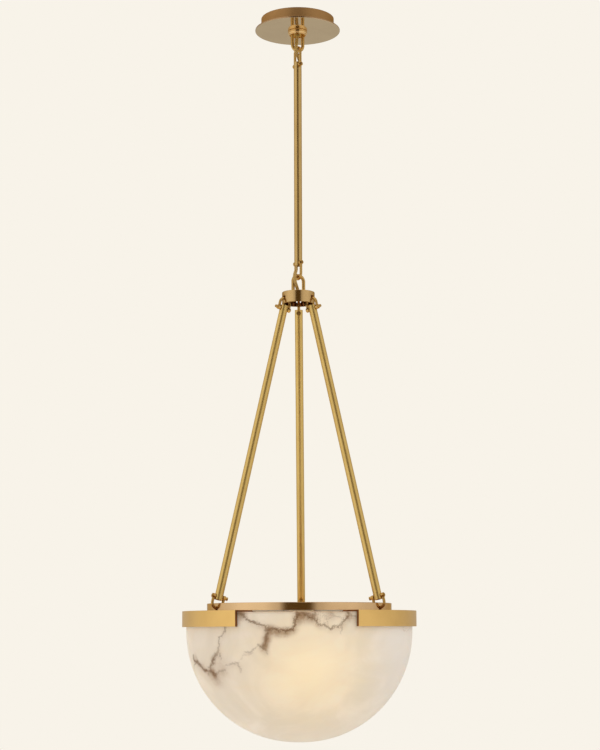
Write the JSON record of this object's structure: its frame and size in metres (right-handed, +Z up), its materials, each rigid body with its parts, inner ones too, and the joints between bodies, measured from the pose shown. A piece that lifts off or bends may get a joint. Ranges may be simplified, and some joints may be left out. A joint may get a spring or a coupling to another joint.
{
  "type": "pendant light",
  "caption": "Alabaster bowl pendant light: ceiling canopy, stem on wire shackles, hub cup, splayed rods and a stone bowl in brass clasps with lampholders inside.",
  "frame": {"origin": "on the ceiling, at the centre between the two outlet box screws of the crossbar", "axes": "+Z up, out of the ceiling face of the crossbar; +X along the crossbar, from screw to screw; the side that the picture shows faces -Y"},
  "size_m": [0.3354, 0.3294, 1.067],
  "materials": {
    "rubbed_brass": "hand-rubbed antique brass, polished with a soft sheen",
    "alabaster": "honed alabaster, translucent, with brown veins",
    "plated_steel": "zinc plated",
    "ground_paint": "green dyed ground screw",
    "liner_strip": "matt",
    "porcelain": "glazed",
    "bulb_cap": "satin",
    "bulb_glass": "frosted, lit"
  },
  "bodies": {
    "canopy": {"ceiling_crossbar": "plated_steel", "ground_screw": "ground_paint", "crossbar_nipple": "plated_steel", "nipple_locknut": "plated_steel", "canopy_cup": "rubbed_brass", "canopy_disc": "rubbed_brass", "canopy_loop": "rubbed_brass", "canopy_collar": "rubbed_brass"},
    "top_link": {"top_shackle": "rubbed_brass", "top_shackle_pin": "rubbed_brass"},
    "stem": {"stem_tube": "rubbed_brass"},
    "bottom_link": {"bottom_shackle": "rubbed_brass", "bottom_shackle_pin": "rubbed_brass"},
    "hub": {"hub_cup": "rubbed_brass", "hub_loop": "rubbed_brass", "hub_loop_nuts": "rubbed_brass", "upper_shackle_right": "rubbed_brass", "upper_shackle_back": "rubbed_brass", "upper_shackle_left": "rubbed_brass", "upper_pin_right": "rubbed_brass", "upper_pin_back": "rubbed_brass", "upper_pin_left": "rubbed_brass"},
    "bowl": {"carrier_ring": "rubbed_brass", "clasp_right": "rubbed_brass", "clasp_back": "rubbed_brass", "clasp_left": "rubbed_brass", "clasp_liner_right": "liner_strip", "clasp_liner_back": "liner_strip", "clasp_liner_left": "liner_strip", "alabaster_bowl": "alabaster", "bowl_pads": "liner_strip", "bowl_washers": "plated_steel", "bowl_screws": "plated_steel", "socket_spider": "plated_steel", "spider_screws": "plated_steel", "spider_nuts": "plated_steel", "lampholder_nuts": "plated_steel", "lampholder_1": "porcelain", "bulb_base_1": "bulb_cap", "bulb_glass_1": "bulb_glass", "lampholder_2": "porcelain", "bulb_base_2": "bulb_cap", "bulb_glass_2": "bulb_glass", "lampholder_3": "porcelain", "bulb_base_3": "bulb_cap", "bulb_glass_3": "bulb_glass"},
    "right_rod": {"rod_right": "rubbed_brass", "lower_shackle_right": "rubbed_brass", "lower_pin_right": "rubbed_brass"},
    "back_rod": {"rod_back": "rubbed_brass", "lower_shackle_back": "rubbed_brass", "lower_pin_back": "rubbed_brass"},
    "left_rod": {"rod_left": "rubbed_brass", "lower_shackle_left": "rubbed_brass", "lower_pin_left": "rubbed_brass"}
  },
  "joints": [
    {"name": "canopy_swing", "type": "hinge", "parent": "canopy", "child": "top_link", "pos_m": [0, 0, -0.0489], "axis": [0.866, 0.5, 0], "range_deg": [-45, 45]},
    {"name": "stem_top_pivot", "type": "hinge", "parent": "top_link", "child": "stem", "pos_m": [0, 0, -0.0714], "axis": [0.5, -0.866, 0], "range_deg": [-45, 45]},
    {"name": "stem_bottom_pivot", "type": "hinge", "parent": "stem", "child": "bottom_link", "pos_m": [0, 0, -0.3738], "axis": [0.5, -0.866, 0], "range_deg": [-45, 45]},
    {"name": "hub_swing", "type": "hinge", "parent": "bottom_link", "child": "hub", "pos_m": [0, 0, -0.3927], "axis": [0.866, 0.5, 0], "range_deg": [-45, 45]},
    {"name": "bowl_twist", "type": "hinge", "parent": "hub", "child": "bowl", "pos_m": [0, 0, -0.87119], "axis": [0, 0, 1], "range_deg": [-6, 6], "stiffness_Nm_per_rad": 0.517},
    {"name": "right_rod_sway", "type": "hinge", "parent": "hub", "child": "right_rod", "pos_m": [0.02118, -0.01223, -0.44392], "axis": [0.8405, -0.4853, 0.241], "range_deg": [-2, 2]},
    {"name": "back_rod_sway", "type": "hinge", "parent": "hub", "child": "back_rod", "pos_m": [0, 0.02445, -0.44392], "axis": [0, 0.9705, 0.241], "range_deg": [-2, 2]},
    {"name": "left_rod_sway", "type": "hinge", "parent": "hub", "child": "left_rod", "pos_m": [-0.02118, -0.01223, -0.44392], "axis": [-0.8405, -0.4853, 0.241], "range_deg": [-2, 2]}
  ],
  "couplings": [
    {"joint": "right_rod_sway", "follows": "bowl_twist", "ratio": 0.29245},
    {"joint": "back_rod_sway", "follows": "bowl_twist", "ratio": 0.29245},
    {"joint": "left_rod_sway", "follows": "bowl_twist", "ratio": 0.29245}
  ]
}
